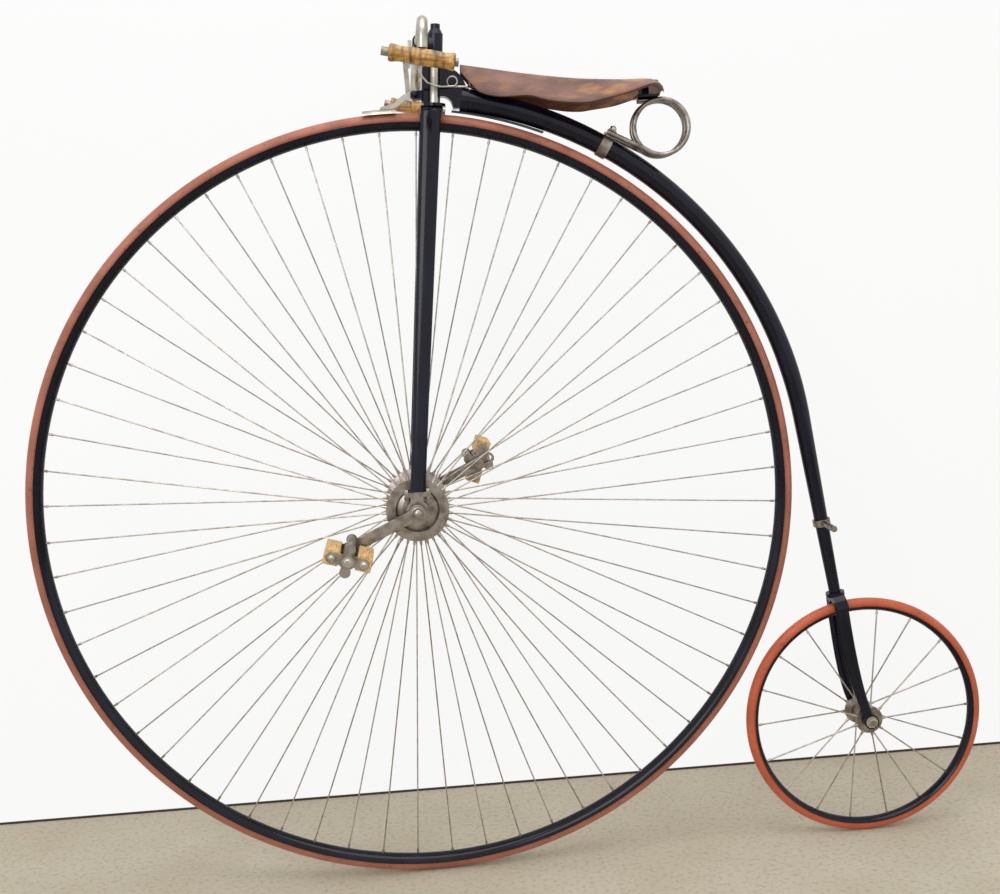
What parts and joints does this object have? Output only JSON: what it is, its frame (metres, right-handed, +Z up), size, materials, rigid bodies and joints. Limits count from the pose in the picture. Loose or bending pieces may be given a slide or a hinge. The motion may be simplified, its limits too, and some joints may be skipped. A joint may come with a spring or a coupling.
{
  "type": "penny farthing bicycle",
  "caption": "Antique high-wheel bicycle with a large driven front wheel, a small rear wheel, a curved backbone, a sprung leather saddle and turned grips.",
  "frame": {"origin": "the rider's seat point on top of the saddle leather", "axes": "+X to the rear of the bicycle, +Y to the rider's right, +Z up"},
  "size_m": [1.6523, 0.5764, 1.4613],
  "materials": {
    "black_enamel": "gloss black stove enamel",
    "front_tyre_rubber": "aged red solid rubber",
    "rear_tyre_rubber": "red solid rubber",
    "bare_steel": "aged bare steel",
    "spoke_steel": "dull drawn steel wire",
    "nickel": "satin worn nickel plate",
    "horn": "polished turned horn",
    "pedal_rubber": "amber pedal rubber",
    "saddle_leather": "worn brown saddle leather"
  },
  "bodies": {
    "frame": {"backbone": "black_enamel", "neck": "black_enamel", "steering_spindle": "nickel", "rear_fork": "black_enamel", "rear_axle": "bare_steel", "mounting_step": "bare_steel", "tyre_guard": "black_enamel", "saddle_leather": "saddle_leather", "saddle_nose": "black_enamel", "saddle_cantle": "black_enamel", "rear_saddle_springs": "bare_steel", "front_saddle_wire": "nickel", "saddle_clip": "bare_steel"},
    "fork": {"fork_legs": "black_enamel", "fork_crown": "black_enamel", "head_web": "black_enamel", "head_socket": "black_enamel", "head_bolt": "black_enamel", "front_bearings": "bare_steel", "handlebar": "nickel", "left_grip": "horn", "right_grip": "horn", "grip_rods": "nickel", "brake_spoon": "bare_steel", "brake_rod": "bare_steel", "brake_lever": "bare_steel"},
    "front_wheel": {"front_tyre": "front_tyre_rubber", "front_rim": "black_enamel", "front_spokes": "spoke_steel", "front_hub": "bare_steel", "front_axle": "bare_steel", "left_crank": "bare_steel", "right_crank": "bare_steel", "pedal_pins": "bare_steel"},
    "left_pedal_body": {"left_pedal": "bare_steel", "left_pedal_rubbers": "pedal_rubber"},
    "right_pedal_body": {"right_pedal": "bare_steel", "right_pedal_rubbers": "pedal_rubber"},
    "rear_wheel": {"rear_tyre": "rear_tyre_rubber", "rear_rim": "black_enamel", "rear_spokes": "spoke_steel", "rear_hub": "bare_steel"}
  },
  "joints": [
    {"name": "steering", "type": "hinge", "parent": "frame", "child": "fork", "pos_m": [-0.254, 0, -0.01947], "axis": [0.0802, 0, 0.9968], "range_deg": [-30, 30]},
    {"name": "front_wheel_spin", "type": "hinge", "parent": "fork", "child": "front_wheel", "pos_m": [-0.33, 0, -0.69947], "axis": [0, -1, 0], "continuous": true},
    {"name": "left_pedal_spin", "type": "hinge", "parent": "front_wheel", "child": "left_pedal_body", "pos_m": [-0.44647, -0.15, -0.75011], "axis": [0, -1, 0], "continuous": true},
    {"name": "right_pedal_spin", "type": "hinge", "parent": "front_wheel", "child": "right_pedal_body", "pos_m": [-0.21353, 0.15, -0.64883], "axis": [0, -1, 0], "continuous": true},
    {"name": "rear_wheel_spin", "type": "hinge", "parent": "frame", "child": "rear_wheel", "pos_m": [0.447, 0, -1.14397], "axis": [0, -1, 0], "continuous": true}
  ]
}
